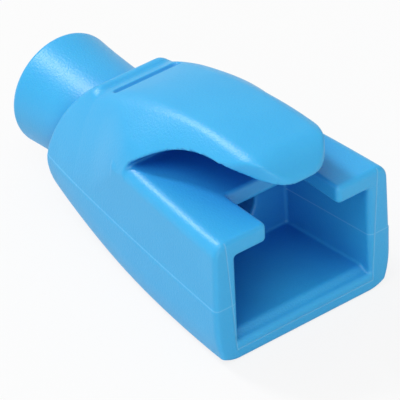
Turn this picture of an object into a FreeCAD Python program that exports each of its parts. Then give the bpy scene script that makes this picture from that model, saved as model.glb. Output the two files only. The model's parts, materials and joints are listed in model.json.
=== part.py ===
import FreeCAD, Part
import math
import os
import Sketcher

# One-piece moulded strain relief boot for a modular data plug.
# Frame: the origin lies on the cable axis at the collar's rear end face.
# +Y runs out along the cable, the plug socket opens towards -Y, +Z is up.
# Stations are counted back from the front face, heights up from the flat bottom.

SIZES = [
    # the whole boot
    ("length", 28.1, "front face to the collar's rear end"),
    ("cable_height", 5.78, "flat bottom to the cable axis"),
    ("parting_height", 4.85, "flat bottom to the mould's parting plane"),
    # front box, outside
    ("front_width", 15.4, "width at the front face, at the parting plane"),
    ("shoulder_height", 10.17, "flat bottom to the top of the front box"),
    ("box_end", 15.3, "station where the box ends inside the hump"),
    ("flare_radius", 345.0, "plan radius of the sides"),
    ("flare_lead", 25.7, "how far ahead of the front face the sides would run parallel"),
    ("rim_station", 23.13, "station of the body's rear rim"),
    ("parting_ledge", 0.06, "how far the lower half stands proud of the upper"),
    ("lower_draft", 1.0, "draft of the lower half, degrees"),
    ("upper_draft", 1.0, "draft of the upper half, degrees"),
    ("keel_round", 1.25, "rounding between the sides and the bottom"),
    ("shoulder_round", 1.0, "rounding between the sides and the top"),
    ("lower_front_round", 0.5, "rounding around the lower half's front face"),
    ("upper_front_round", 0.65, "rounding around the upper half's front face"),
    # plug socket and latch slot
    ("socket_width", 11.65, "clear width for the plug at the mouth"),
    ("socket_back_width", 10.1, "clear width at the socket's back"),
    ("socket_floor", 1.93, "floor thickness under the plug"),
    ("socket_roof", 8.67, "flat bottom to the underside of the lips"),
    ("socket_depth", 8.3, "depth of the socket from the front face"),
    ("slot_width", 6.16, "width between the two lips"),
    ("slot_length", 4.46, "length of the slot from the front face"),
    # hump and latch guard
    ("tongue_overhang", 0.46, "how far the guard's tip passes the front face"),
    ("tip_width", 7.5, "width of the guard at its tip, before it is rounded"),
    ("tongue_width", 7.6, "width of the guard behind its rounded tip"),
    ("tongue_station", 4.3, "station where the tongue's width is measured"),
    ("waist_width", 8.7, "width of the guard at its waist"),
    ("waist_station", 9.7, "station of the waist"),
    ("hump_station", 14.7, "station where the hump meets the box sides"),
    ("mid_station", 18.9, "station between the hump and the rim"),
    ("hump_proud", 0.03, "how far the hump's sides stand proud of the box"),
    ("tongue_shoulder", 2.3, "flank radius of the tongue"),
    ("waist_shoulder", 3.8, "flank radius at the waist"),
    ("hump_shoulder", 6.0, "flank radius of the hump"),
    ("mid_shoulder", 5.6, "flank radius between the hump and the rim"),
    ("rim_shoulder", 4.7, "flank radius at the rim"),
    ("crown_height", 14.77, "flat bottom to the top of the guard"),
    ("crown_station", 5.2, "station of the guard's highest point"),
    ("crown_radius", 28.5, "side radius of the guard's top"),
    ("tip_fall", 0.5, "crown's top down to the flank's top at the tip"),
    ("tongue_rise", 0.55, "crown's top up to the flank's top at the tongue"),
    ("waist_rise", 0.1, "crown's top up to the flank's top at the waist"),
    ("hump_fall", 1.2, "crown's top down to the flank's top at the hump"),
    ("mid_fall", 2.45, "crown's top down to the flank's top at the middle station"),
    ("rim_fall", 3.9, "crown's top down to the flank's top at the rim"),
    ("nose_radius", 3.3, "side radius of the guard's nose"),
    ("nose_fall", 1.53, "crown's top down to the upper edge of the tip"),
    ("tip_thickness", 0.6, "height of the tip's front edge"),
    ("arch_fall", 1.43, "crown's top down to the highest point of the guard's underside"),
    ("arch_station", 3.1, "station of the underside's highest point"),
    ("arch_radius", 13.0, "side radius of the underside behind its highest point"),
    ("crotch_radius", 0.7, "inner radius where the guard leaves the box"),
    ("tongue_foot", 0.7, "height of the tongue's foot over the box's top, before its underside is cut"),
    ("waist_foot", 1.0, "depth of the waist's foot under the box's top"),
    ("tip_corner", 3.1, "plan radius of the tip's corners"),
    ("tip_bow", 7.0, "plan radius of the tip's front"),
    ("tip_run", 3.6, "station where the tip's rounding has ended"),
    ("tip_spread", 0.25, "how far the tip's rounding runs out past the tongue's sides"),
    ("strip_end", 18.75, "station of the hump's rear edge"),
    ("strip_drop", 0.6, "run of the step behind the hump"),
    ("dome_radius", 10.5, "side radius of the body's rear end"),
    ("dome_station", 12.7, "station of the rear end's side centre"),
    ("dome_height", 3.4, "height of the rear end's side centre"),
    ("groove_station", 17.3, "station of the groove across the hump"),
    ("groove_length", 4.75, "length of the groove across the hump"),
    ("groove_width", 0.5, "width of the groove"),
    ("groove_depth", 0.3, "depth of the groove"),
    ("barrel_station", 11.8, "station where the round rear end starts"),
    ("barrel_start", 8.28, "radius of the round rear end where it starts, about the cable axis"),
    ("barrel_end", 5.8, "radius of the round rear end at the rim, about the cable axis"),
    ("barrel_radius", 55.0, "side radius of the round rear end"),
    ("clear_cut", 1.0, "how far cutting profiles reach past the material"),
    # collar and cable bore
    ("collar_radius", 4.46, "outside radius at the collar's end"),
    ("neck_radius", 4.15, "outside radius at the collar's waist"),
    ("neck_station", 21.2, "station of the collar's waist"),
    ("bore_radius", 3.1, "radius of the cable bore"),
    ("bore_station", 19.9, "station where the cable bore starts"),
    ("passage_radius", 2.3, "radius of the cable passage at the socket's back"),
    ("passage_height", 5.3, "height of the cable passage at the socket's back"),
    ("collar_round", 0.45, "rounding of the collar's end edges"),
]

doc = FreeCAD.newDocument("strain_relief_boot")
sheet = doc.addObject("Spreadsheet::Sheet", "Sizes")
for row, (alias, value, meaning) in enumerate(SIZES, start=1):
    sheet.set("A%d" % row, str(value))
    sheet.set("B%d" % row, meaning)
    sheet.setAlias("A%d" % row, alias)
doc.recompute()

body = doc.addObject("PartDesign::Body", "boot")
body.Label = "boot"


def size(alias):
    return float(sheet.get(alias))


def plane(role):
    return next(f for f in body.Origin.OriginFeatures if f.Role == role)


def new_sketch(name, role, offset):
    """A sketch on one of the body's planes, moved along the plane's normal."""
    sketch = body.newObject("Sketcher::SketchObject", name)
    sketch.AttachmentSupport = [(plane(role), "")]
    sketch.MapMode = "FlatFace"
    sketch.setExpression("AttachmentOffset.Base.z", offset)
    return sketch


def bind(sketch, expression, kind, *where):
    """Add a constraint whose value is an expression on the sheet."""
    value = evaluate(expression)
    if kind == "Angle":
        value = math.radians(value)
    index = sketch.addConstraint(Sketcher.Constraint(kind, *where, value))
    sketch.setExpression("Constraints[%d]" % index, expression)


def evaluate(expression):
    return float(body.evalExpression(expression))


def place(sketch, geometry, point, across, up):
    """Hold a point of the sketch at the place that two expressions give."""
    bind(sketch, across, "DistanceX", -1, 1, geometry, point)
    bind(sketch, up, "DistanceY", -1, 1, geometry, point)


def vec(across, up):
    return FreeCAD.Vector(across, up, 0)


def polyline(sketch, corners):
    """A closed outline of straight lines through corners given as expressions."""
    first = sketch.GeometryCount
    points = [vec(evaluate(a), evaluate(b)) for a, b in corners]
    count = len(points)
    for i in range(count):
        sketch.addGeometry(Part.LineSegment(points[i], points[(i + 1) % count]), False)
    for i in range(count):
        sketch.addConstraint(Sketcher.Constraint("Coincident", first + i, 2, first + (i + 1) % count, 1))
        place(sketch, first + i, 1, *corners[i])


def arc_between(centre, start, end):
    """A counter-clockwise arc from start to end about centre, as sketch geometry."""
    radius = (start - centre).Length
    first = math.atan2(start.y - centre.y, start.x - centre.x)
    last = math.atan2(end.y - centre.y, end.x - centre.x)
    circle = Part.Circle(centre, FreeCAD.Vector(0, 0, 1), radius)
    return Part.ArcOfCircle(circle, first, last)


def finish(feature, grows):
    """Recompute a feature and stop if it did not add or cut what it should."""
    before = feature.BaseFeature.Shape.Volume if feature.BaseFeature else 0.0
    doc.recompute()
    change = feature.Shape.Volume - before
    if (change > 0) != grows or abs(change) < 1e-4:
        raise RuntimeError("%s changed the volume by %.4f mm3" % (feature.Name, change))
    print("%-18s %+9.3f mm3, valid %s" % (feature.Name, change, feature.Shape.isValid()))


def rounded(name, radius, wanted, grows=False):
    """Round the body's edges that pass a test on their middle and run."""
    base = body.Tip
    names = []
    for number, edge in enumerate(base.Shape.Edges, start=1):
        middle = edge.valueAt((edge.FirstParameter + edge.LastParameter) / 2)
        run = edge.valueAt(edge.LastParameter) - edge.valueAt(edge.FirstParameter)
        if wanted(middle, run):
            names.append("Edge%d" % number)
    fillet = body.newObject("PartDesign::Fillet", name)
    fillet.Base = (base, names)
    fillet.setExpression("Radius", radius)
    finish(fillet, grows)
    return fillet


def near(value, expression, slack=0.05):
    return abs(value - evaluate(expression)) < slack


def front(station):
    return "(%s - Sizes.length)" % station


def above(height):
    return "(%s - Sizes.cable_height)" % height


def side_at(station):
    """Half width of the body at a station, at the parting plane."""
    return ("(Sizes.front_width / 2 + sqrt(Sizes.flare_radius ^ 2 - (%s + Sizes.flare_lead) ^ 2)"
            " - sqrt(Sizes.flare_radius ^ 2 - Sizes.flare_lead ^ 2))" % station)


# --- body halves: the plan outline, drafted away from the parting plane ---

def plan_outline(name, end, proud):
    sketch = new_sketch(name, "XY_Plane", above("Sizes.parting_height"))
    half = "Sizes.front_width / 2 + %s" % proud
    half_end = side_at(end) + " + %s" % proud
    lead = front("-Sizes.flare_lead")
    y_front, y_end, y_lead = evaluate(front("0")), evaluate(front(end)), evaluate(lead)
    wide, wide_end = evaluate(half), evaluate(half_end)
    hub = math.sqrt(size("flare_radius") ** 2 - size("flare_lead") ** 2) - wide
    right = arc_between(vec(-hub, y_lead), vec(wide, y_front), vec(wide_end, y_end))
    left = arc_between(vec(hub, y_lead), vec(-wide_end, y_end), vec(-wide, y_front))
    sketch.addGeometry(right, False)
    sketch.addGeometry(left, False)
    sketch.addGeometry(Part.LineSegment(vec(-wide, y_front), vec(wide, y_front)), False)
    sketch.addGeometry(Part.LineSegment(vec(wide_end, y_end), vec(-wide_end, y_end)), False)
    right_side, left_side, front_line, end_line = range(4)
    join = sketch.addConstraint
    join(Sketcher.Constraint("Coincident", front_line, 2, right_side, 1))
    join(Sketcher.Constraint("Coincident", right_side, 2, end_line, 1))
    join(Sketcher.Constraint("Coincident", end_line, 2, left_side, 1))
    join(Sketcher.Constraint("Coincident", left_side, 2, front_line, 1))
    place(sketch, front_line, 2, half, front("0"))
    place(sketch, front_line, 1, "-(%s)" % half, front("0"))
    for side, far in ((right_side, 2), (left_side, 1)):
        bind(sketch, "Sizes.flare_radius", "Radius", side)
        bind(sketch, lead, "DistanceY", -1, 1, side, 3)
        bind(sketch, front(end), "DistanceY", -1, 1, side, far)
    return sketch


def pad_half(name, sketch, depth, draft, down):
    pad = body.newObject("PartDesign::Pad", name)
    pad.Profile = sketch
    pad.Type = "Length"
    pad.Reversed = down
    pad.setExpression("Length", depth)
    pad.setExpression("TaperAngle", "-" + draft)
    finish(pad, True)
    return pad


def along_the_side(height):
    """A test for the long edges that run from front to back at a height."""
    return lambda middle, run: near(middle.z, above(height)) and abs(run.y) > abs(run.x)


pad_half("upper_half", plan_outline("upper_plan", "Sizes.box_end", "0"),
         "Sizes.shoulder_height - Sizes.parting_height", "Sizes.upper_draft", False)
rounded("shoulder_edges", "Sizes.shoulder_round", along_the_side("Sizes.shoulder_height"))
rounded("upper_front_edges", "Sizes.upper_front_round",
        lambda middle, run: near(middle.y, front("0"), 0.3)
        and middle.z > evaluate(above("Sizes.parting_height")) + 0.1)
pad_half("lower_half", plan_outline("lower_plan", "Sizes.rim_station", "Sizes.parting_ledge"),
         "Sizes.parting_height", "Sizes.lower_draft", True)
rounded("keel_edges", "Sizes.keel_round", along_the_side("0"))
rounded("lower_front_edges", "Sizes.lower_front_round",
        lambda middle, run: near(middle.y, front("0"), 0.3)
        and middle.z < evaluate(above("Sizes.parting_height")) - 0.1)


# --- hump and latch guard: a loft of arched sections along the boot ---

def arch_section(name, station, half_width, roof, shoulder, foot_height):
    """Drafted sides, a shoulder arc each side and a flat roof, across the boot."""
    sketch = new_sketch(name, "XZ_Plane", "-" + front(station))
    foot = above(foot_height)
    b, z_foot, z_roof = evaluate(half_width), evaluate(foot), evaluate(above(roof))
    radius = evaluate(shoulder)
    draft = math.radians(size("upper_draft"))
    x_arc = b - (radius + (z_roof - radius - z_foot) * math.sin(draft)) / math.cos(draft)
    normal = vec(math.cos(draft), math.sin(draft))
    for mirror in (1, -1):
        centre = vec(mirror * x_arc, z_roof - radius)
        side_top = centre + vec(mirror * normal.x, normal.y) * radius
        roof_end = centre + vec(0, radius)
        sketch.addGeometry(Part.LineSegment(vec(mirror * b, z_foot), side_top), False)
        if mirror == 1:
            sketch.addGeometry(arc_between(centre, side_top, roof_end), False)
        else:
            sketch.addGeometry(arc_between(centre, roof_end, side_top), False)
    sketch.addGeometry(Part.LineSegment(vec(x_arc, z_roof), vec(-x_arc, z_roof)), False)
    sketch.addGeometry(Part.LineSegment(vec(-b, z_foot), vec(b, z_foot)), False)
    right_side, right_arc, left_side, left_arc, roof_line, foot_line = range(6)
    place(sketch, foot_line, 2, half_width, foot)
    place(sketch, foot_line, 1, "-(%s)" % half_width, foot)
    sketch.addConstraint(Sketcher.Constraint("Coincident", foot_line, 2, right_side, 1))
    sketch.addConstraint(Sketcher.Constraint("Coincident", foot_line, 1, left_side, 1))
    bind(sketch, "90 deg + Sizes.upper_draft * 1 deg", "Angle", right_side)
    bind(sketch, "90 deg - Sizes.upper_draft * 1 deg", "Angle", left_side)
    sketch.addConstraint(Sketcher.Constraint("Tangent", right_side, 2, right_arc, 1))
    sketch.addConstraint(Sketcher.Constraint("Tangent", left_side, 2, left_arc, 2))
    sketch.addConstraint(Sketcher.Constraint("Tangent", right_arc, 2, roof_line, 1))
    sketch.addConstraint(Sketcher.Constraint("Tangent", left_arc, 1, roof_line, 2))
    bind(sketch, shoulder, "Radius", right_arc)
    bind(sketch, shoulder, "Radius", left_arc)
    bind(sketch, above(roof), "DistanceY", -1, 1, roof_line, 1)
    return sketch


def hump_side(station):
    return side_at(station) + " + Sizes.hump_proud"


TONGUE_FOOT = "(Sizes.shoulder_height + Sizes.tongue_foot)"
WAIST_FOOT = "(Sizes.shoulder_height - Sizes.waist_foot)"
BODY_FOOT = "Sizes.parting_height"


ARCHES = [
    ("tip_arch", "-Sizes.tongue_overhang", "Sizes.tip_width / 2",
     "(Sizes.crown_height - Sizes.tip_fall)", "Sizes.tongue_shoulder", TONGUE_FOOT),
    ("tongue_arch", "Sizes.tongue_station", "Sizes.tongue_width / 2",
     "(Sizes.crown_height + Sizes.tongue_rise)", "Sizes.tongue_shoulder", TONGUE_FOOT),
    ("waist_arch", "Sizes.waist_station", "Sizes.waist_width / 2",
     "(Sizes.crown_height + Sizes.waist_rise)", "Sizes.waist_shoulder", WAIST_FOOT),
    ("hump_arch", "Sizes.hump_station", hump_side("Sizes.hump_station"),
     "(Sizes.crown_height - Sizes.hump_fall)", "Sizes.hump_shoulder", BODY_FOOT),
    ("mid_arch", "Sizes.mid_station", hump_side("Sizes.mid_station"),
     "(Sizes.crown_height - Sizes.mid_fall)", "Sizes.mid_shoulder", BODY_FOOT),
    ("rim_arch", "Sizes.rim_station", hump_side("Sizes.rim_station"),
     "(Sizes.crown_height - Sizes.rim_fall)", "Sizes.rim_shoulder", BODY_FOOT),
]
arches = [arch_section(*arch) for arch in ARCHES]
hump = body.newObject("PartDesign::AdditiveLoft", "hump")
hump.Profile = arches[0]
hump.Sections = arches[1:]
hump.Ruled = False
finish(hump, True)


# --- side profiles cut across the whole width ---

def cut_across(name, sketch):
    """Cut a side profile through the boot from side to side."""
    pocket = body.newObject("PartDesign::Pocket", name)
    pocket.Profile = sketch
    pocket.SideType = "Symmetric"
    pocket.Type = "ThroughAll"
    finish(pocket, False)
    return pocket


def crown_profile():
    """The air above the guard, its nose, the hump and the body's rear end."""
    sketch = new_sketch("crown_profile", "YZ_Plane", "0")
    crown_centre = vec(evaluate(front("Sizes.crown_station")),
                       evaluate(above("Sizes.crown_height")) - size("crown_radius"))
    tip = vec(evaluate(front("-Sizes.tongue_overhang")), evaluate(above("(Sizes.crown_height - Sizes.nose_fall)")))
    # the nose arc ends at the tip and touches the crown arc from inside
    nose_radius, crown_radius = size("nose_radius"), size("crown_radius")
    reach = crown_radius - nose_radius
    gap = (tip - crown_centre).Length
    along = (gap ** 2 + nose_radius ** 2 - reach ** 2) / (2 * gap)
    across = math.sqrt(nose_radius ** 2 - along ** 2)
    toward = (crown_centre - tip).normalize()
    nose_centre = tip + toward * along + vec(toward.y, -toward.x) * -across
    if nose_centre.x < tip.x:
        nose_centre = tip + toward * along + vec(toward.y, -toward.x) * across
    touch = crown_centre + (nose_centre - crown_centre).normalize() * crown_radius
    y_strip = evaluate(front("Sizes.strip_end"))
    strip = vec(y_strip, crown_centre.y + math.sqrt(crown_radius ** 2 - (y_strip - crown_centre.x) ** 2))
    dome_centre = vec(evaluate(front("Sizes.dome_station")), evaluate(above("Sizes.dome_height")))
    dome_radius = size("dome_radius")
    y_dome = y_strip + size("strip_drop")
    dome_top = vec(y_dome, dome_centre.y + math.sqrt(dome_radius ** 2 - (y_dome - dome_centre.x) ** 2))
    dome_low = dome_centre + vec(dome_radius, 0)
    sky = evaluate(above("Sizes.crown_height")) + 3
    y_fore, y_aft = tip.x - 2, dome_low.x + 2
    sketch.addGeometry(arc_between(nose_centre, touch, tip), False)
    sketch.addGeometry(arc_between(crown_centre, strip, touch), False)
    sketch.addGeometry(Part.LineSegment(strip, dome_top), False)
    sketch.addGeometry(arc_between(dome_centre, dome_low, dome_top), False)
    corners = [dome_low, vec(y_aft, dome_low.y), vec(y_aft, sky), vec(y_fore, sky), vec(y_fore, tip.y), tip]
    for start, end in zip(corners, corners[1:]):
        sketch.addGeometry(Part.LineSegment(start, end), False)
    nose, crown, drop, dome, out, aft, top, fore, back = range(9)
    join = sketch.addConstraint
    join(Sketcher.Constraint("Tangent", nose, 1, crown, 2))
    join(Sketcher.Constraint("Coincident", crown, 1, drop, 1))
    join(Sketcher.Constraint("Coincident", drop, 2, dome, 2))
    join(Sketcher.Constraint("Coincident", dome, 1, out, 1))
    join(Sketcher.Constraint("Coincident", out, 2, aft, 1))
    join(Sketcher.Constraint("Coincident", aft, 2, top, 1))
    join(Sketcher.Constraint("Coincident", top, 2, fore, 1))
    join(Sketcher.Constraint("Coincident", fore, 2, back, 1))
    join(Sketcher.Constraint("Coincident", back, 2, nose, 2))
    place(sketch, nose, 2, front("-Sizes.tongue_overhang"), above("(Sizes.crown_height - Sizes.nose_fall)"))
    bind(sketch, "Sizes.nose_radius", "Radius", nose)
    place(sketch, crown, 3, front("Sizes.crown_station"),
          above("Sizes.crown_height") + " - Sizes.crown_radius")
    bind(sketch, "Sizes.crown_radius", "Radius", crown)
    bind(sketch, front("Sizes.strip_end"), "DistanceX", -1, 1, drop, 1)
    bind(sketch, front("Sizes.strip_end") + " + Sizes.strip_drop", "DistanceX", -1, 1, drop, 2)
    place(sketch, dome, 3, front("Sizes.dome_station"), above("Sizes.dome_height"))
    bind(sketch, "Sizes.dome_radius", "Radius", dome)
    join(Sketcher.Constraint("Horizontal", out))
    bind(sketch, above("Sizes.dome_height"), "DistanceY", -1, 1, out, 1)
    join(Sketcher.Constraint("Vertical", aft))
    join(Sketcher.Constraint("Horizontal", top))
    join(Sketcher.Constraint("Vertical", fore))
    join(Sketcher.Constraint("Horizontal", back))
    bind(sketch, front("Sizes.rim_station") + " + 2", "DistanceX", -1, 1, aft, 2)
    bind(sketch, above("Sizes.crown_height") + " + 3", "DistanceY", -1, 1, top, 2)
    bind(sketch, front("-Sizes.tongue_overhang") + " - 2", "DistanceX", -1, 1, top, 2)
    return sketch


cut_across("crown", crown_profile())


def channel_profile():
    """The space under the latch guard, open to the front."""
    sketch = new_sketch("channel_profile", "YZ_Plane", "0")
    ledge = evaluate(above("Sizes.shoulder_height"))
    arch_radius, crotch = size("arch_radius"), size("crotch_radius")
    y_arch = evaluate(front("Sizes.arch_station"))
    z_arch = evaluate(above("(Sizes.crown_height - Sizes.arch_fall)"))
    rear_centre = vec(y_arch, z_arch - arch_radius)
    apex = vec(y_arch, z_arch)
    tip = vec(evaluate(front("-Sizes.tongue_overhang")), evaluate(above("(Sizes.crown_height - Sizes.nose_fall - Sizes.tip_thickness)")))
    fall = z_arch - tip.y
    run = y_arch - tip.x
    front_radius = (run ** 2 + fall ** 2) / (2 * fall)
    front_centre = vec(y_arch, z_arch - front_radius)
    # the crotch arc lies on the ledge and touches the rear arc from inside
    z_crotch = ledge + crotch
    y_crotch = y_arch + math.sqrt((arch_radius - crotch) ** 2 - (z_crotch - rear_centre.y) ** 2)
    crotch_centre = vec(y_crotch, z_crotch)
    touch = rear_centre + (crotch_centre - rear_centre).normalize() * arch_radius
    foot = vec(y_crotch, ledge)
    y_fore = tip.x - 2
    sketch.addGeometry(arc_between(rear_centre, touch, apex), False)
    sketch.addGeometry(arc_between(front_centre, apex, tip), False)
    sketch.addGeometry(arc_between(crotch_centre, foot, touch), False)
    corners = [tip, vec(y_fore, tip.y), vec(y_fore, ledge), foot]
    for start, end in zip(corners, corners[1:]):
        sketch.addGeometry(Part.LineSegment(start, end), False)
    rear, fall_arc, crotch_arc, out, fore, floor = range(6)
    join = sketch.addConstraint
    join(Sketcher.Constraint("Tangent", rear, 2, fall_arc, 1))
    join(Sketcher.Constraint("Tangent", crotch_arc, 2, rear, 1))
    join(Sketcher.Constraint("Coincident", fall_arc, 2, out, 1))
    join(Sketcher.Constraint("Coincident", out, 2, fore, 1))
    join(Sketcher.Constraint("Coincident", fore, 2, floor, 1))
    join(Sketcher.Constraint("Tangent", floor, 2, crotch_arc, 1))
    join(Sketcher.Constraint("Horizontal", out))
    join(Sketcher.Constraint("Vertical", fore))
    join(Sketcher.Constraint("Horizontal", floor))
    place(sketch, rear, 3, front("Sizes.arch_station"), above("(Sizes.crown_height - Sizes.arch_fall)") + " - Sizes.arch_radius")
    bind(sketch, "Sizes.arch_radius", "Radius", rear)
    bind(sketch, front("Sizes.arch_station"), "DistanceX", -1, 1, fall_arc, 1)
    place(sketch, fall_arc, 2, front("-Sizes.tongue_overhang"), above("(Sizes.crown_height - Sizes.nose_fall - Sizes.tip_thickness)"))
    bind(sketch, "Sizes.crotch_radius", "Radius", crotch_arc)
    bind(sketch, above("Sizes.shoulder_height"), "DistanceY", -1, 1, floor, 1)
    bind(sketch, front("-Sizes.tongue_overhang") + " - 2", "DistanceX", -1, 1, floor, 1)
    return sketch


cut_across("channel", channel_profile())


# --- rounded tip of the latch guard ---

HALF_TIP = "Sizes.tongue_width / 2 + Sizes.tip_spread"


def tip_plan():
    """Everything outside the guard's rounded tip, seen from above."""
    sketch = new_sketch("tip_plan", "XY_Plane", above("Sizes.crown_height") + " + Sizes.clear_cut")
    y_tip = evaluate(front("-Sizes.tongue_overhang"))
    y_back = evaluate(front("Sizes.tip_run"))
    half = evaluate(HALF_TIP)
    corner, bow = size("tip_corner"), size("tip_bow")
    bow_centre = vec(0, y_tip + bow)
    x_corner = half - corner
    y_corner = bow_centre.y - math.sqrt((bow - corner) ** 2 - x_corner ** 2)
    wide, y_fore = half + size("clear_cut"), y_tip - size("clear_cut")
    touch_right = bow_centre + (vec(x_corner, y_corner) - bow_centre).normalize() * bow
    touch_left = vec(-touch_right.x, touch_right.y)
    sketch.addGeometry(arc_between(bow_centre, touch_left, touch_right), False)
    sketch.addGeometry(arc_between(vec(x_corner, y_corner), touch_right, vec(half, y_corner)), False)
    sketch.addGeometry(arc_between(vec(-x_corner, y_corner), vec(-half, y_corner), touch_left), False)
    right = [vec(half, y_corner), vec(half, y_back), vec(wide, y_back), vec(wide, y_fore)]
    left = [vec(-p.x, p.y) for p in reversed(right)]
    for start, end in zip(right + left, (right + left)[1:]):
        sketch.addGeometry(Part.LineSegment(start, end), False)
    bow_arc, right_arc, left_arc = range(3)
    lines = range(3, 10)
    join = sketch.addConstraint
    join(Sketcher.Constraint("Tangent", bow_arc, 2, right_arc, 1))
    join(Sketcher.Constraint("Tangent", bow_arc, 1, left_arc, 2))
    join(Sketcher.Constraint("Tangent", right_arc, 2, lines[0], 1))
    join(Sketcher.Constraint("Tangent", left_arc, 1, lines[6], 2))
    for before, after in zip(lines, lines[1:]):
        join(Sketcher.Constraint("Coincident", before, 2, after, 1))
    for upright in (lines[0], lines[2], lines[4], lines[6]):
        join(Sketcher.Constraint("Vertical", upright))
    for level in (lines[1], lines[3], lines[5]):
        join(Sketcher.Constraint("Horizontal", level))
    place(sketch, bow_arc, 3, "0", front("-Sizes.tongue_overhang") + " + Sizes.tip_bow")
    bind(sketch, "Sizes.tip_bow", "Radius", bow_arc)
    bind(sketch, "Sizes.tip_corner", "Radius", right_arc)
    bind(sketch, "Sizes.tip_corner", "Radius", left_arc)
    bind(sketch, HALF_TIP, "DistanceX", -1, 1, lines[0], 2)
    bind(sketch, "-(" + HALF_TIP + ")", "DistanceX", -1, 1, lines[6], 1)
    bind(sketch, front("Sizes.tip_run"), "DistanceY", -1, 1, lines[0], 2)
    bind(sketch, front("Sizes.tip_run"), "DistanceY", -1, 1, lines[6], 1)
    bind(sketch, HALF_TIP + " + Sizes.clear_cut", "DistanceX", -1, 1, lines[2], 1)
    bind(sketch, "-(" + HALF_TIP + ") - Sizes.clear_cut", "DistanceX", -1, 1, lines[4], 2)
    bind(sketch, front("-Sizes.tongue_overhang") + " - Sizes.clear_cut", "DistanceY", -1, 1, lines[3], 1)
    return sketch


tip = body.newObject("PartDesign::Pocket", "tip")
tip.Profile = tip_plan()
tip.Type = "Length"
tip.setExpression("Length", "Sizes.crown_height + Sizes.clear_cut - Sizes.shoulder_height - Sizes.tongue_foot / 2")
finish(tip, False)


# --- round rear end and collar, both turned about the cable axis ---

def turned(name, sketch, kind):
    feature = body.newObject("PartDesign::" + kind, name)
    feature.Profile = sketch
    feature.ReferenceAxis = (plane("Y_Axis"), [""])
    feature.Angle = 360
    finish(feature, kind == "Revolution")
    return feature


def barrel_profile():
    """The air outside the round rear end, over a shallow arc along the axis."""
    sketch = new_sketch("barrel_profile", "YZ_Plane", "0")
    radius = size("barrel_radius")
    aft_station = front("Sizes.rim_station") + " + Sizes.clear_cut"
    sky = "2 * Sizes.crown_height"
    fore_end = vec(evaluate(front("Sizes.barrel_station")), size("barrel_start"))
    rear_end = vec(evaluate(front("Sizes.rim_station")), size("barrel_end"))
    y_aft = evaluate(aft_station)
    chord = rear_end - fore_end
    inward = vec(chord.y, -chord.x).normalize()
    centre = (fore_end + rear_end) / 2 + inward * math.sqrt(radius ** 2 - chord.Length ** 2 / 4)
    sketch.addGeometry(arc_between(centre, rear_end, fore_end), False)
    corners = [fore_end, vec(fore_end.x, evaluate(sky)), vec(y_aft, evaluate(sky)),
               vec(y_aft, rear_end.y), rear_end]
    for start, end in zip(corners, corners[1:]):
        sketch.addGeometry(Part.LineSegment(start, end), False)
    arc, fore, lid, aft, run_out = range(5)
    join = sketch.addConstraint
    for before, after in ((fore, lid), (lid, aft), (aft, run_out)):
        join(Sketcher.Constraint("Coincident", before, 2, after, 1))
    join(Sketcher.Constraint("Coincident", arc, 2, fore, 1))
    join(Sketcher.Constraint("Coincident", run_out, 2, arc, 1))
    join(Sketcher.Constraint("Vertical", aft))
    join(Sketcher.Constraint("Horizontal", run_out))
    bind(sketch, "Sizes.barrel_radius", "Radius", arc)
    place(sketch, fore, 1, front("Sizes.barrel_station"), "Sizes.barrel_start")
    place(sketch, run_out, 2, front("Sizes.rim_station"), "Sizes.barrel_end")
    place(sketch, fore, 2, front("Sizes.barrel_station"), sky)
    place(sketch, lid, 2, aft_station, sky)
    return sketch


turned("barrel", barrel_profile(), "Groove")

collar_profile = new_sketch("collar_profile", "YZ_Plane", "0")
y_root, y_neck, y_end = evaluate(front("Sizes.box_end")), evaluate(front("Sizes.neck_station")), 0.0
r_neck, r_end = size("neck_radius"), size("collar_radius")
swell = ((y_end - y_neck) ** 2 + (r_end - r_neck) ** 2) / (2 * (r_end - r_neck))
collar_profile.addGeometry(Part.LineSegment(vec(y_root, 0), vec(y_root, r_neck)), False)
collar_profile.addGeometry(Part.LineSegment(vec(y_root, r_neck), vec(y_neck, r_neck)), False)
collar_profile.addGeometry(arc_between(vec(y_neck, r_neck + swell), vec(y_neck, r_neck), vec(y_end, r_end)), False)
collar_profile.addGeometry(Part.LineSegment(vec(y_end, r_end), vec(y_end, 0)), False)
collar_profile.addGeometry(Part.LineSegment(vec(y_end, 0), vec(y_root, 0)), False)
for before, after in ((0, 1), (2, 3), (3, 4), (4, 0)):
    collar_profile.addConstraint(Sketcher.Constraint("Coincident", before, 2, after, 1))
collar_profile.addConstraint(Sketcher.Constraint("Tangent", 1, 2, 2, 1))
place(collar_profile, 0, 1, front("Sizes.box_end"), "0")
place(collar_profile, 1, 1, front("Sizes.box_end"), "Sizes.neck_radius")
place(collar_profile, 2, 1, front("Sizes.neck_station"), "Sizes.neck_radius")
place(collar_profile, 2, 2, "0", "Sizes.collar_radius")
place(collar_profile, 3, 2, "0", "0")
turned("collar", collar_profile, "Revolution")


# --- openings ---

def cut_from(name, sketch, length, reverse=False):
    pocket = body.newObject("PartDesign::Pocket", name)
    pocket.Profile = sketch
    pocket.Type = "Length"
    pocket.Reversed = reverse
    pocket.setExpression("Length", length)
    finish(pocket, False)
    return pocket


def rectangle(name, role, offset, low, high):
    sketch = new_sketch(name, role, offset)
    (x0, y0), (x1, y1) = low, high
    polyline(sketch, [(x0, y0), (x1, y0), (x1, y1), (x0, y1)])
    return sketch


def socket_section(name, station, width):
    return rectangle(name, "XZ_Plane", "-" + front(station),
                     ("-%s / 2" % width, above("Sizes.socket_floor")),
                     ("%s / 2" % width, above("Sizes.socket_roof")))


def hollow(name, mouth, back):
    """Cut a straight-sided passage between two sections."""
    loft = body.newObject("PartDesign::SubtractiveLoft", name)
    loft.Profile = mouth
    loft.Sections = [back]
    loft.Ruled = True
    finish(loft, False)


hollow("socket", socket_section("socket_mouth", "0", "Sizes.socket_width"),
       socket_section("socket_back", "Sizes.socket_depth", "Sizes.socket_back_width"))

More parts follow.
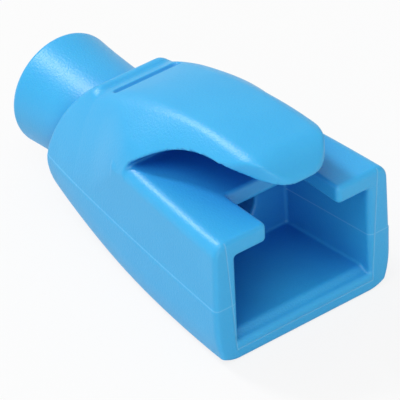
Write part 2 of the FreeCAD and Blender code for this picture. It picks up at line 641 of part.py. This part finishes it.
slot_mouth = rectangle("slot_mouth", "XY_Plane", above("Sizes.shoulder_height"),
                       ("-Sizes.slot_width / 2", front("0") + " - 1"),
                       ("Sizes.slot_width / 2", front("Sizes.slot_length")))
cut_from("slot", slot_mouth, "Sizes.shoulder_height - Sizes.socket_roof + 0.5")

def circle(name, station, height, radius):
    """A circle across the boot, centred on its middle plane."""
    sketch = new_sketch(name, "XZ_Plane", "-" + front(station))
    centre = vec(0, evaluate(above(height)))
    sketch.addGeometry(Part.Circle(centre, FreeCAD.Vector(0, 0, 1), evaluate(radius)), False)
    place(sketch, 0, 3, "0", above(height))
    bind(sketch, radius, "Radius", 0)
    return sketch


bore_circle = circle("bore_circle", "Sizes.length", "Sizes.cable_height", "Sizes.bore_radius")
cut_from("bore", bore_circle, "Sizes.length - Sizes.bore_station", True)

hollow("passage", circle("passage_mouth", "Sizes.socket_depth", "Sizes.passage_height", "Sizes.passage_radius"),
       circle("passage_end", "Sizes.bore_station", "Sizes.cable_height", "Sizes.bore_radius"))

# the groove's depth is measured from the crown's surface at its station
CROWN_AT_GROOVE = ("(Sizes.crown_radius - sqrt(Sizes.crown_radius ^ 2"
                   " - (Sizes.groove_station - Sizes.crown_station) ^ 2))")
groove_mouth = rectangle("groove_mouth", "XY_Plane", above("Sizes.crown_height"),
                         ("-Sizes.groove_length / 2", front("Sizes.groove_station") + " - Sizes.groove_width / 2"),
                         ("Sizes.groove_length / 2", front("Sizes.groove_station") + " + Sizes.groove_width / 2"))
cut_from("groove", groove_mouth, CROWN_AT_GROOVE + " + Sizes.groove_depth")

# --- collar's end edges ---

rounded("collar_end", "Sizes.collar_round",
        lambda middle, run: near(middle.y, "0") and math.hypot(middle.x, middle.z) > size("bore_radius") / 2)

for item in doc.Objects:
    if "Invalid" in item.State or "Error" in item.State:
        raise RuntimeError("%s is %s" % (item.Name, item.State))
if body.Shape.isNull() or not body.Shape.isValid() or len(body.Shape.Solids) != 1:
    raise RuntimeError("the boot is not one valid solid")
os.makedirs("parts", exist_ok=True)
body.Shape.exportStep("parts/%s.step" % body.Label)
print("%s: %.2f mm3, %d faces" % (body.Label, body.Shape.Volume, len(body.Shape.Faces)))
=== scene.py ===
import bpy
import json
import math
import numpy as np
from mathutils import Matrix, Vector


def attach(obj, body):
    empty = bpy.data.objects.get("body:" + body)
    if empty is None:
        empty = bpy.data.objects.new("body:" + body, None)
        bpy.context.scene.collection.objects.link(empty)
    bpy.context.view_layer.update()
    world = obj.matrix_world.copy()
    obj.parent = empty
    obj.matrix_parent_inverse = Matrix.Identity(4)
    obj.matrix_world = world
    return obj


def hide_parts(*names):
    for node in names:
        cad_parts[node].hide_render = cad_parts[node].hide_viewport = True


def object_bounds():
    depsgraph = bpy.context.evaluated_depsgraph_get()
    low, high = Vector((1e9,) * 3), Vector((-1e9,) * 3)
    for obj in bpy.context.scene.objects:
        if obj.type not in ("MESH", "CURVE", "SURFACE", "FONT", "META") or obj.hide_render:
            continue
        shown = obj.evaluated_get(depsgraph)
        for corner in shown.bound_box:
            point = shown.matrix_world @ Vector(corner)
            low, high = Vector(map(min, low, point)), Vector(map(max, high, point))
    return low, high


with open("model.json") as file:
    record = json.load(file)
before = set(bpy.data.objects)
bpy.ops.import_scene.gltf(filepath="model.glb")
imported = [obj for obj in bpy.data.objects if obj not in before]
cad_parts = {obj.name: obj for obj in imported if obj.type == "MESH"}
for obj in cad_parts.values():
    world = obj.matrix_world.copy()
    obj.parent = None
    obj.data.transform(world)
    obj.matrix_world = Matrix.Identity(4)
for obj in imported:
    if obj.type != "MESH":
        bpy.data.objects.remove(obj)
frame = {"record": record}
cad_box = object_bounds()

# --- boot: one moulding in soft blue plastic, which slides over the back of a
# data plug and its cable. It comes out of a two-part mould and off a core in one
# piece, with rounded edges all over, and nothing is fixed to it ---
mounts = {mount["name"]: mount for mount in frame["record"]["mounts"]}
length = -1000 * mounts["plug_socket"]["pos_m"][1]
axis_height = -1000 * mounts["base"]["pos_m"][2]
bore_radius = mounts["cable_bore"]["dims"]["r_mm"]
bore_start = length - mounts["cable_bore"]["dims"]["length_mm"]
parting = 4.85
draft = math.tan(math.radians(1.0))
box_end = 13.5
socket_depth = 8.3
crown_height, crown_radius, crown_back = 14.77, 28.5, 5.2

# Each form of the boot is a distance in millimetres, negative in the plastic. It
# is read at a place across the boot (x), back from the front face (f), and up
# from the flat bottom (z).


def cut(a, b, radius):
    """What lies in both forms, with their common edge rounded."""
    return (np.minimum(-radius, np.maximum(a, b))
            + np.hypot(np.maximum(radius + a, 0), np.maximum(radius + b, 0)))


def join(a, b, radius):
    """What lies in either form, with a fillet between them."""
    return (np.maximum(radius, np.minimum(a, b))
            - np.hypot(np.maximum(radius - a, 0), np.maximum(radius - b, 0)))


def ease(low, high, value):
    """From 0 to 1 between low and high, level at both ends."""
    t = np.clip((value - low) / (high - low), 0, 1)
    return t * t * (3 - 2 * t)


def bow(radius, run):
    """How far a circle of that radius falls away after a run from its crest."""
    return radius - np.sqrt(np.maximum(radius ** 2 - run ** 2, 0))


def off_axis(x, z):
    """How far a place is from the cable's axis."""
    return np.hypot(x, z - axis_height)


def sides(x, f, z):
    """Both sides: bowed in plan, drafted each way from the parting line, and a
    little proud under it, where the lower half of the mould is wider."""
    half_width, plan_radius, plan_crest = 7.688, 345, -25.7
    proud, blend_height = 0.06, 0.05
    half = half_width - bow(plan_radius, f - plan_crest) + bow(plan_radius, plan_crest)
    ledge = proud * ease(parting + blend_height, parting - blend_height, z)
    return np.abs(x) - half - ledge + np.abs(z - parting) * draft


def barrel(x, f, z):
    """The round envelope about the axis, let out a little over the crown."""
    radius, long_radius = 9.08, 84
    let_out, let_out_low, let_out_high = 0.55, 9.5, 12.5
    return (off_axis(x, z) - (radius - bow(long_radius, f))
            - let_out * ease(let_out_low, let_out_high, z))


def front_box(x, f, z):
    """The box round the plug, with rounded shoulders, and the slot for the
    plug's latch between the two lips of its top."""
    box_top, shoulder_rounding, end_rounding = 10.17, 1.0, 0.3
    slot_half_width, slot_length, slot_floor = 3.08, 4.46, 7.5
    slot_corner, slot_edge = 0.2, 0.3
    box = cut(sides(x, f, z), z - box_top, shoulder_rounding)
    box = cut(box, f - box_end, end_rounding)
    slot = cut(np.abs(x) - slot_half_width, f - slot_length, slot_corner)
    return cut(box, -np.maximum(slot, slot_floor - z), slot_edge)


def crest(f):
    """How high the crown runs: in a long arc, then straight down to the rear."""
    fall_start, fall = 18.75, 0.33
    return (crown_height - bow(crown_radius, np.minimum(f, fall_start) - crown_back)
            - fall * np.maximum(f - fall_start, 0))


def crown(f, z):
    """The arched top, with its rounded nose in front and the low ridge that
    rises again behind the groove."""
    inset = 0.01
    ridge_height, ridge_back, ridge_rise, ridge_start = 11.34, 18.75, 0.317, 18.6
    ridge_fillet = 0.1
    nose_reach, nose_rounding = 1.1, 3.3
    arch = np.hypot(f - crown_back, z - (crown_height - inset - crown_radius)) - crown_radius
    ridge = z - ridge_height - ridge_rise * (f - ridge_back)
    ridge = np.maximum(ridge / math.hypot(1, ridge_rise), ridge_start - f)
    return cut(join(arch, ridge, ridge_fillet), -nose_reach - f, nose_rounding)


def guard_tip(x, f):
    """The guard's end in plan: a shallow bow with large corners, whose sides
    widen into the flanks. It limits nothing from the box's slot back."""
    bow_radius, reach, corner_rounding = 7, 0.46, 2.9
    half_width, widening, widening_end, widening_run = 4.02, 0.043, 4.5, 2.5
    clear, clear_start, clear_end = 6, 3.5, 8
    front = np.hypot(x, np.minimum(f - (bow_radius - reach), 0)) - bow_radius
    side = widening * np.clip(widening_end - f, 0, widening_run) ** 2
    tip = cut(front, np.abs(x) - half_width + side, corner_rounding)
    return tip - clear * ease(clear_start, clear_end, f)


def air_under_guard(f, z):
    """The open space under the guard: two arcs that meet at its highest point,
    with a rounded end where it runs out over the box."""
    top, top_back = 13.39, 4.0
    rear_radius, front_radius = 10.9, 12.4
    end, end_rounding = 11.7, 0.4
    along = f - top_back
    rear_arc = np.hypot(along, z - (top - rear_radius)) - rear_radius
    front_arc = np.hypot(along, z - (top - front_radius)) - front_radius
    return cut(np.where(along > 0, rear_arc, front_arc), f - end, end_rounding)


def hump(x, f, z):
    """The hump and the guard in one: flanks that slope out from the crown's
    creases and run on into the sides."""
    crease_front, crease_rear, crease_end = 3.05, 3.40, 18.8
    slope_tip, slope_gain, gain_start, gain_end = 0.70, 0.36, 7.5, 13.0
    slope_loss, loss_start, loss_end = 0.1, 14, 18
    flank_rounding, flank_gain, rounding_start, rounding_end = 1.2, 1.8, 12, 17
    crease_rounding, tip_edge, lower_edge = 0.6, 0.18, 0.1
    crease = crease_front + (crease_rear - crease_front) * ease(box_end, crease_end, f)
    slope = (slope_tip + slope_gain * ease(gain_start, gain_end, f)
             - slope_loss * ease(loss_start, loss_end, f))
    flanks = (np.abs(x) - crease - slope * (crest(f) - z)) / np.hypot(1, slope)
    rounding = flank_rounding + flank_gain * ease(rounding_start, rounding_end, f)
    body = cut(cut(flanks, sides(x, f, z), rounding), crown(f, z), crease_rounding)
    return cut(cut(body, guard_tip(x, f), tip_edge), -air_under_guard(f, z), lower_edge)


def rear_end(f, z):
    """The rounded rear of the body. It limits nothing in the front half."""
    arc_back, arc_up, arc_radius = 12.7, 3.4, 10.5
    clear, clear_until, clear_from = 3, 18.4, 15.5
    arc = np.hypot(f - arc_back, z - arc_up) - arc_radius
    rear = np.where(z > arc_up, arc, f - (arc_back + arc_radius))
    return np.where(f > arc_back, rear - clear * ease(clear_until, clear_from, f), -clear)


def collar(x, f, z):
    """The collar round the cable, which flares towards its rounded end."""
    radius, flare_radius, flare_start = 4.15, 77, 21.2
    root, end_rounding = 15, 0.45
    outside = radius + bow(flare_radius, np.maximum(f - flare_start, 0))
    return cut(np.maximum(off_axis(x, z) - outside, root - f), f - length, end_rounding)


def plug_socket(x, f, z):
    """The socket that the plug's rear fills. It narrows towards its back, and
    its floor dips a little at the mouth, to lead the plug in."""
    half_width, narrowing, roof = 5.825, 0.775, 8.67
    floor_height, dip, dip_start, dip_end = 1.93, 0.35, 0.3, 1.1
    corner_rounding, mouth_margin = 0.2, 1
    wall = half_width - narrowing * np.clip(f, -mouth_margin, socket_depth) / socket_depth
    floor_top = floor_height - dip * ease(dip_end, dip_start, f)
    socket = cut(np.abs(x) - wall, np.maximum(floor_top - z, z - roof), corner_rounding)
    return cut(socket, f - socket_depth, corner_rounding)


def cable_way(x, f, z):
    """The cable's way: a cone behind the socket, then the collar's round bore."""
    mouth_radius, mouth_height, overlap = 2.3, 5.3, 0.3
    share = np.clip((f - socket_depth) / (bore_start - socket_depth), 0, 1)
    radius = mouth_radius + (bore_radius - mouth_radius) * share
    height = mouth_height + (axis_height - mouth_height) * share
    return np.maximum(np.hypot(x, z - height) - radius, socket_depth - overlap - f)


def groove(x, f, z):
    """The round-bottomed groove across the crown."""
    half_length, back, rise, radius = 2.45, 17.15, 0.06, 0.44
    past_end = np.maximum(np.abs(x) - half_length, 0)
    return np.sqrt(past_end ** 2 + (f - back) ** 2 + (z - crest(f) - rise) ** 2) - radius


def boot(x, f, z):
    """The whole boot, from its outer forms to the openings cut into them."""
    hump_fillet, fillet_loss, loss_start, loss_end = 0.3, 0.29, 11.6, 12.6
    rear_rounding, bottom_rounding, barrel_rounding = 0.35, 0.5, 1.0
    collar_fillet, front_rounding, front_top, clear = 0.15, 0.4, 11.6, 5
    mouth_rounding, bore_rounding, groove_rounding = 0.4, 0.25, 0.12
    fillet = hump_fillet - fillet_loss * ease(loss_start, loss_end, f)
    body = join(front_box(x, f, z), hump(x, f, z), fillet)
    body = np.maximum(body, sides(x, f, z))
    body = cut(body, rear_end(f, z), rear_rounding)
    body = cut(body, -z, bottom_rounding)
    body = cut(body, barrel(x, f, z), barrel_rounding)
    body = join(body, collar(x, f, z), collar_fillet)
    body = cut(body, np.where(z > front_top, -clear, -f), front_rounding)
    body = cut(body, -plug_socket(x, f, z), mouth_rounding)
    body = cut(body, -cable_way(x, f, z), bore_rounding)
    return cut(body, -groove(x, f, z), groove_rounding)


def skin_of(form, starts, reaches, cell):
    """The points and four-sided faces of the skin where a form's distance is
    zero: one point in each cell of a grid that the skin passes through."""
    settling_rounds, probe, least_slope, most_move = 3, 0.004, 0.25, 0.3
    counts = [int(round(reach / cell)) for reach in reaches]
    lines = [start + cell * np.arange(count + 1) for start, count in zip(starts, counts)]
    grid = np.meshgrid(*[line.astype(np.float32) for line in lines], indexing="ij", sparse=True)
    field = np.broadcast_to(form(*grid), [count + 1 for count in counts]).astype(np.float32)
    solid = field < 0
    corners = [tuple(slice(bit, bit + count) for bit, count in zip(bits, counts))
               for bits in np.ndindex(2, 2, 2)]
    full = sum(solid[corner].astype(np.int8) for corner in corners)
    cells = np.argwhere((full > 0) & (full < 8))
    numbers = np.full(counts, -1, np.int32)
    numbers[tuple(cells.T)] = np.arange(len(cells))
    # each point starts in the middle of the places where its cell's edges cross
    total, hits = np.zeros((len(cells), 3)), np.zeros((len(cells), 1))
    for direction in range(3):
        step = np.eye(3, dtype=int)[direction]
        for bits in np.ndindex(2, 2, 2):
            if bits[direction]:
                continue
            start = cells + bits
            a, b = field[tuple(start.T)], field[tuple((start + step).T)]
            crossed = (a < 0) != (b < 0)
            share = np.where(crossed, a / np.where(crossed, a - b, 1), 0)
            total += np.where(crossed[:, None], start + share[:, None] * step, 0)
            hits += crossed[:, None]
    points = np.array(starts) + cell * total / hits
    # then it settles onto the true surface, down the slope of the distance
    for _ in range(settling_rounds):
        level = form(*points.T)
        slope = np.stack([(form(*(points + shift).T) - level) / probe
                          for shift in np.eye(3) * probe], axis=1)
        steepness = np.maximum((slope ** 2).sum(axis=1, keepdims=True), least_slope)
        move = -level[:, None] * slope / steepness
        points += np.clip(move, -most_move * cell, most_move * cell)
    # a face joins the four cells round each edge of the grid that crosses the skin
    faces = []
    for direction in range(3):
        first, second = [other for other in range(3) if other != direction]
        step = np.eye(3, dtype=int)
        low = [slice(1, count) for count in counts]
        low[direction] = slice(0, counts[direction])
        high = list(low)
        high[direction] = slice(1, counts[direction] + 1)
        at = np.argwhere(solid[tuple(low)] != solid[tuple(high)]) + [part.start for part in low]
        outward = solid[tuple(at.T)]
        if direction == 1:
            outward = ~outward
        ring = [at - step[first] - step[second], at - step[second], at, at - step[first]]
        ring = np.stack([numbers[tuple(corner.T)] for corner in ring], axis=1)
        faces.append(np.where(outward[:, None], ring, ring[:, ::-1]))
    return points, np.concatenate(faces)


grid_start, grid_reach, cell = (-8.2, -1.0, -0.5), (16.4, 29.8, 15.7), 0.13
most_triangles = 190000
points, faces = skin_of(boot, grid_start, grid_reach, cell)
dense = bpy.data.meshes.new("boot_skin")
dense.from_pydata((points - [0, length, axis_height]) / 1000, [], faces.tolist())
boot_skin = bpy.data.objects.new("boot_skin", dense)
bpy.context.collection.objects.link(boot_skin)
thin = boot_skin.modifiers.new("thin", "DECIMATE")
thin.ratio = min(1.0, most_triangles / (2 * len(faces)))
bpy.context.view_layer.update()
evaluated = boot_skin.evaluated_get(bpy.context.evaluated_depsgraph_get())
skin_mesh = bpy.data.meshes.new_from_object(evaluated)
boot_skin.modifiers.clear()
boot_skin.data = skin_mesh
skin_mesh.shade_smooth()

plastic = bpy.data.materials.new("boot_plastic")
plastic.use_nodes = True
nodes, links = plastic.node_tree.nodes, plastic.node_tree.links
shader = nodes["Principled BSDF"]
place = nodes.new("ShaderNodeTexCoord")


def feed(entry, value):
    """Gives an input a plain value, or the result of another step."""
    if isinstance(value, (int, float, tuple)):
        entry.default_value = value
    else:
        links.new(value, entry)


def calculate(operation, first, second=0.0, third=0.0):
    """One step of arithmetic in the material, on values or on other steps."""
    node = nodes.new("ShaderNodeMath")
    node.operation = operation
    for entry, value in zip(node.inputs, (first, second, third)):
        feed(entry, value)
    return node.outputs[0]


def blend(amount, plain_colour, marked_colour):
    """A colour between two, each a colour or another step."""
    node = nodes.new("ShaderNodeMix")
    node.data_type = "RGBA"
    feed(node.inputs["Factor"], amount)
    feed(node.inputs[6], plain_colour)
    feed(node.inputs[7], marked_colour)
    return node.outputs[2]


def noise(scale, detail=3):
    """A cloudy pattern through the plastic, from 0 to 1."""
    node = nodes.new("ShaderNodeTexNoise")
    node.inputs["Scale"].default_value = scale
    node.inputs["Detail"].default_value = detail
    links.new(place.outputs["Object"], node.inputs["Vector"])
    return node.outputs["Fac"]


def fine_line(off, sharpness):
    """1 on a line and 0 a little off it, from the distance off it."""
    softness = 0.1
    far = calculate("MULTIPLY", calculate("ABSOLUTE", off), sharpness)
    return calculate("SUBTRACT", 1.0, calculate("SMOOTH_MIN", far, 1.0, softness))


# the colour drifts a little at random, and painted shade darkens it to a deep blue
# where the plastic faces itself, in the socket, the bore and other hollows
open_blue, pale_open_blue = (0.030, 0.41, 0.80, 1), (0.048, 0.46, 0.85, 1)
painted_shade_blue, painted_highlight_blue = (0.0003, 0.11, 0.52, 1), (0.30, 0.66, 0.95, 1)
drift_scale, shade_reach, shade_power = 220, 0.007, 0.9
shade = nodes.new("ShaderNodeAmbientOcclusion")
shade.only_local = True
shade.samples = 12
shade.inputs["Distance"].default_value = shade_reach
openness = calculate("POWER", shade.outputs["AO"], shade_power)
# painted shade: the less open a place is, the nearer its colour comes to the deep blue
tone = blend(openness, painted_shade_blue, blend(noise(drift_scale), open_blue, pale_open_blue))
# fine lines in the skin: round the front face, where the core met the mould, and
# along the sides, where the halves of the mould met. Their paler blue is a painted
# highlight, for the light that their rounded edges catch
core_half_width, core_lean, core_bottom, core_sharpness = 5.95, 0.07, 0.95, 12
side_start, parting_sharpness, painted_highlight_strength = 5.0, 14, 0.35
front_depth = 0.2
axes = nodes.new("ShaderNodeSeparateXYZ")
links.new(place.outputs["Object"], axes.inputs[0])
off_middle = calculate("ABSOLUTE", calculate("MULTIPLY", axes.outputs["X"], 1000))
height_up = calculate("MULTIPLY_ADD", axes.outputs["Z"], 1000, axis_height)
at_front = calculate("LESS_THAN", axes.outputs["Y"], -(length - front_depth) / 1000)
core_side = calculate("MULTIPLY_ADD", height_up, core_lean, core_half_width)
core_edge = calculate("MAXIMUM", calculate("SUBTRACT", off_middle, core_side),
                      calculate("SUBTRACT", core_bottom, height_up))
core_line = calculate("MULTIPLY", at_front, fine_line(core_edge, core_sharpness))
at_side = calculate("GREATER_THAN", off_middle, side_start)
parting_gap = calculate("SUBTRACT", height_up, parting)
parting_line = calculate("MULTIPLY", at_side, fine_line(parting_gap, parting_sharpness))
line = calculate("MULTIPLY", calculate("MAXIMUM", core_line, parting_line), painted_highlight_strength)
# painted highlight: the lines are blended towards a paler blue
links.new(blend(line, tone, painted_highlight_blue), shader.inputs["Base Color"])
# the fine grain that the eroded mould gives the skin, and the core line's dip
grain_scale, core_dip = 6500, -1.2
grain = nodes.new("ShaderNodeBump")
grain.inputs["Strength"].default_value = 0.5
grain.inputs["Distance"].default_value = 0.00005
relief = calculate("MULTIPLY_ADD", core_line, core_dip, noise(grain_scale))
links.new(relief, grain.inputs["Height"])
links.new(grain.outputs["Normal"], shader.inputs["Normal"])
shader.inputs["Roughness"].default_value = 0.38
shader.inputs["Subsurface Weight"].default_value = 0.1
shader.inputs["Subsurface Radius"].default_value = (0.2, 0.6, 1.0)
shader.inputs["Subsurface Scale"].default_value = 0.0008
skin_mesh.materials.clear()
skin_mesh.materials.append(plastic)
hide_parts("boot")
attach(boot_skin, "root")


# --- floor: a large sheet of matt white paper, which the boot lies on with its
# flat bottom. It keeps the boot's soft shadow, and looks nearly white ---
def white_to_camera(tree, kind, share, lit, output):
    """Shows the camera that share of plain white, from a node of that kind, and
    the rest as it is lit. All other rays meet the lit surface alone."""
    white = tree.nodes.new(kind)
    white.inputs["Color"].default_value = (1, 1, 1, 1)
    white.inputs["Strength"].default_value = 1.0
    sight = tree.nodes.new("ShaderNodeLightPath")
    amount = tree.nodes.new("ShaderNodeMath")
    amount.operation = "MULTIPLY"
    amount.inputs[1].default_value = share
    mix = tree.nodes.new("ShaderNodeMixShader")
    tree.links.new(sight.outputs["Is Camera Ray"], amount.inputs[0])
    tree.links.new(amount.outputs[0], mix.inputs["Fac"])
    tree.links.new(lit, mix.inputs[1])
    tree.links.new(white.outputs[0], mix.inputs[2])
    tree.links.new(mix.outputs["Shader"], output)


reach, under_boot = 3, 0.00001
level = cad_box[0][2] - under_boot
floor_mesh = bpy.data.meshes.new("floor")
floor_mesh.from_pydata([(-reach, -reach, level), (reach, -reach, level),
                        (reach, reach, level), (-reach, reach, level)], [], [(0, 1, 2, 3)])
floor = bpy.data.objects.new("floor", floor_mesh)
bpy.context.collection.objects.link(floor)
paper = bpy.data.materials.new("floor_paper")
paper.use_nodes = True
nodes = paper.node_tree.nodes
dull = nodes["Principled BSDF"]
dull.inputs["Base Color"].default_value = (0.75, 0.75, 0.75, 1)
dull.inputs["Roughness"].default_value = 0.9
white_to_camera(paper.node_tree, "ShaderNodeEmission", 0.85, dull.outputs["BSDF"],
                nodes["Material Output"].inputs["Surface"])
floor_mesh.materials.append(paper)

# --- light: a large soft lamp high on the left, a small one high behind, which
# picks out the edges, a low one in front, and an even white surround ---
surround = 0.5
world = bpy.data.worlds.new("studio")
world.use_nodes = True
nodes = world.node_tree.nodes
soft = nodes["Background"]
soft.inputs["Color"].default_value = (1, 1, 1, 1)
soft.inputs["Strength"].default_value = surround
white_to_camera(world.node_tree, "ShaderNodeBackground", 1.0, soft.outputs["Background"],
                nodes["World Output"].inputs["Surface"])
bpy.context.scene.world = world
lit_spot = Vector((0, -0.015, 0))
for name, spot, size, power in (
    ("key_lamp", (-0.21, -0.15, 0.49), 0.30, 0.95),
    ("edge_lamp", (-0.14, 0.46, 0.51), 0.12, 2.2),
    ("fill_lamp", (-0.30, -0.50, 0.10), 0.25, 0.58),
):
    lamp = bpy.data.objects.new(name, bpy.data.lights.new(name, "AREA"))
    lamp.data.size = size
    lamp.data.energy = power
    lamp.location = Vector(spot)
    lamp.rotation_euler = (lit_spot - Vector(spot)).to_track_quat("-Z", "Y").to_euler()
    bpy.context.collection.objects.link(lamp)
bpy.context.scene.view_settings.view_transform = "Standard"

# --- camera: a long lens looks down on the front left corner of the boot, at
# about 36 degrees from the front and 35 degrees above the horizon ---
azimuth, elevation, roll = (math.radians(angle) for angle in (-36.223, 35.435, -2.987))
target = Vector((-0.0023825, -0.0196743, 0.0014873))
distance, focal_length, sensor_width = 0.27089, 352.54, 36
back = Vector((math.sin(azimuth) * math.cos(elevation),
               -math.cos(azimuth) * math.cos(elevation),
               math.sin(elevation)))
right = (-back).cross(Vector((0, 0, 1))).normalized()
up = right.cross(-back)
rolled_right = right * math.cos(roll) + up * math.sin(roll)
rolled_up = up * math.cos(roll) - right * math.sin(roll)
turned = Matrix((rolled_right, rolled_up, back)).transposed().to_4x4()
camera = bpy.data.objects.new("camera", bpy.data.cameras.new("camera"))
camera.matrix_world = Matrix.Translation(target + back * distance) @ turned
camera.data.sensor_width = sensor_width
camera.data.lens = focal_length
camera.data.clip_start = 0.01
camera.data.clip_end = 10
bpy.context.collection.objects.link(camera)
bpy.context.scene.camera = camera
